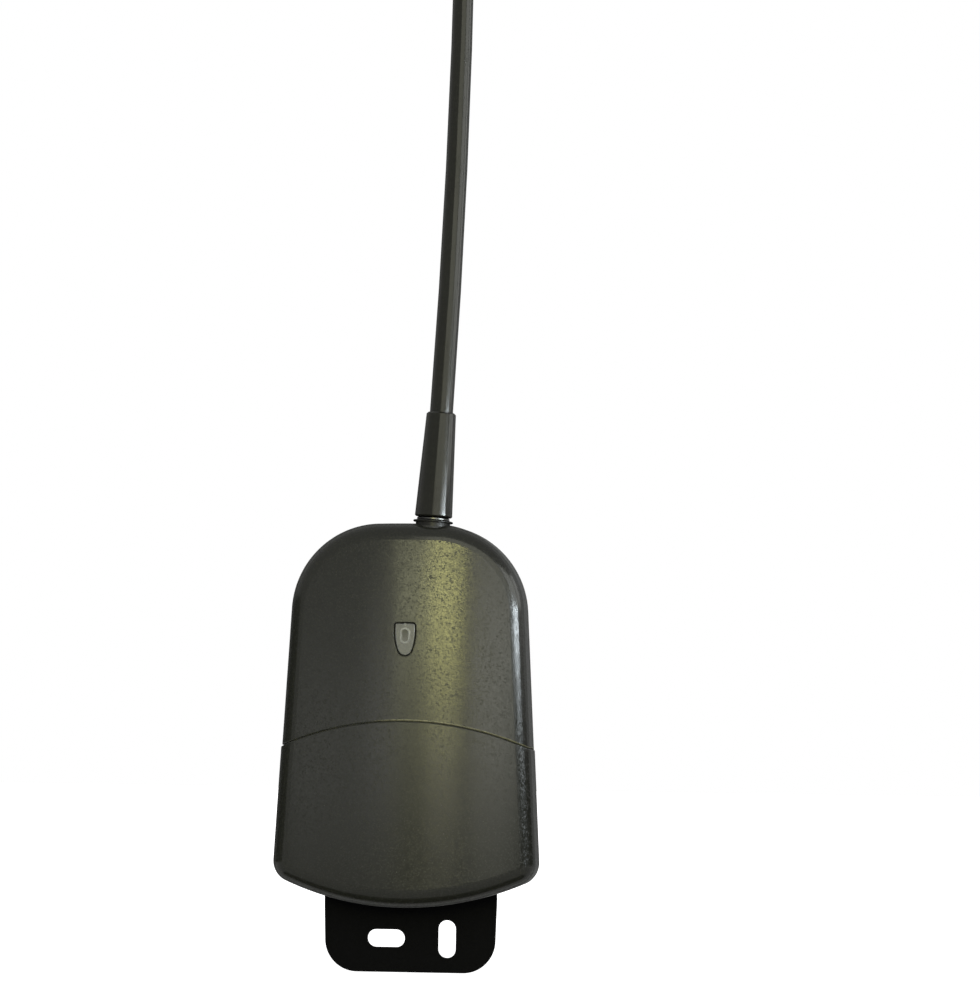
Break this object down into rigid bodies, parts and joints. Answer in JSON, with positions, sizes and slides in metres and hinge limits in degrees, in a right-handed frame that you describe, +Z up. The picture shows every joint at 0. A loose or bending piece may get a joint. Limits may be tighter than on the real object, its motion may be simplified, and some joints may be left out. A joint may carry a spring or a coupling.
{
  "type": "gate opener receiver",
  "caption": "Wall-mounted weatherproof radio receiver for a gate opener, with an arch-topped housing, sliding wiring cover, slotted bracket and whip antenna.",
  "frame": {"origin": "on the bracket's wall face, on the housing's centre line, at the height of the two mounting slots", "axes": "+Z up along the housing, +Y into the wall, +X to the right seen from the front"},
  "size_m": [0.097, 0.0403, 0.3905],
  "materials": {
    "housing_plastic": "satin moulded plastic, faintly pebbled",
    "back_plastic": "matt moulded plastic",
    "seal_rubber": "soft black rubber",
    "badge_plastic": "glossy moulded insert",
    "bracket_paint": "black powder coat",
    "screw_steel": "zinc plated",
    "bushing_plastic": "glossy black plastic",
    "nut_brass": "plain brass",
    "ferrule_metal": "dark nickel plate",
    "antenna_rubber": "satin black rubber",
    "whip_rubber": "satin black rubber",
    "lead_insulation": "insulated lead",
    "board_laminate": "green solder mask",
    "terminal_plastic": "green moulded plastic",
    "relay_plastic": "blue moulded plastic",
    "switch_metal": "pressed steel cover",
    "button_plastic": "black plastic",
    "lamp_lens": "red lens",
    "switch_plastic": "red moulded plastic",
    "lever_plastic": "white plastic",
    "capacitor_can": "printed sleeve on an aluminium can",
    "chip_plastic": "moulded package with tinned pins",
    "regulator_plastic": "moulded package on a metal tab",
    "module_laminate": "small board with a screening can"
  },
  "bodies": {
    "housing": {"upper_shell": "housing_plastic", "back_shell": "back_plastic", "housing_gasket": "seal_rubber", "badge_insert": "badge_plastic", "cable_grommet": "seal_rubber", "mounting_bracket": "bracket_paint", "bracket_screws": "screw_steel", "housing_screws": "screw_steel", "antenna_seal": "seal_rubber", "antenna_bushing": "bushing_plastic", "antenna_nut": "nut_brass", "antenna_ferrule": "ferrule_metal", "antenna_sleeve": "antenna_rubber", "antenna_whip": "whip_rubber", "antenna_lead": "lead_insulation", "circuit_board": "board_laminate", "board_screws": "screw_steel", "terminal_block": "terminal_plastic", "terminal_screws": "screw_steel", "relay_one": "relay_plastic", "relay_two": "relay_plastic", "learn_switch": "switch_metal", "status_lamp": "lamp_lens", "function_switch": "switch_plastic", "capacitor": "capacitor_can", "microcontroller": "chip_plastic", "regulator": "regulator_plastic", "radio_module": "module_laminate"},
    "cover": {"lower_cover": "housing_plastic"},
    "button": {"learn_button": "button_plastic"},
    "first_lever": {"lever_one": "lever_plastic"},
    "second_lever": {"lever_two": "lever_plastic"}
  },
  "joints": [
    {"name": "cover_slide", "type": "slide", "parent": "housing", "child": "cover", "axis": [0, 0, -1], "range_m": [0, 0.06]},
    {"name": "learn_press", "type": "slide", "parent": "housing", "child": "button", "axis": [0, 1, 0], "range_m": [0, 0.0004], "stiffness_N_per_m": 2000},
    {"name": "lever_one_slide", "type": "slide", "parent": "housing", "child": "first_lever", "axis": [0, 0, 1], "range_m": [0, 0.0015]},
    {"name": "lever_two_slide", "type": "slide", "parent": "housing", "child": "second_lever", "axis": [0, 0, 1], "range_m": [0, 0.0015]}
  ]
}
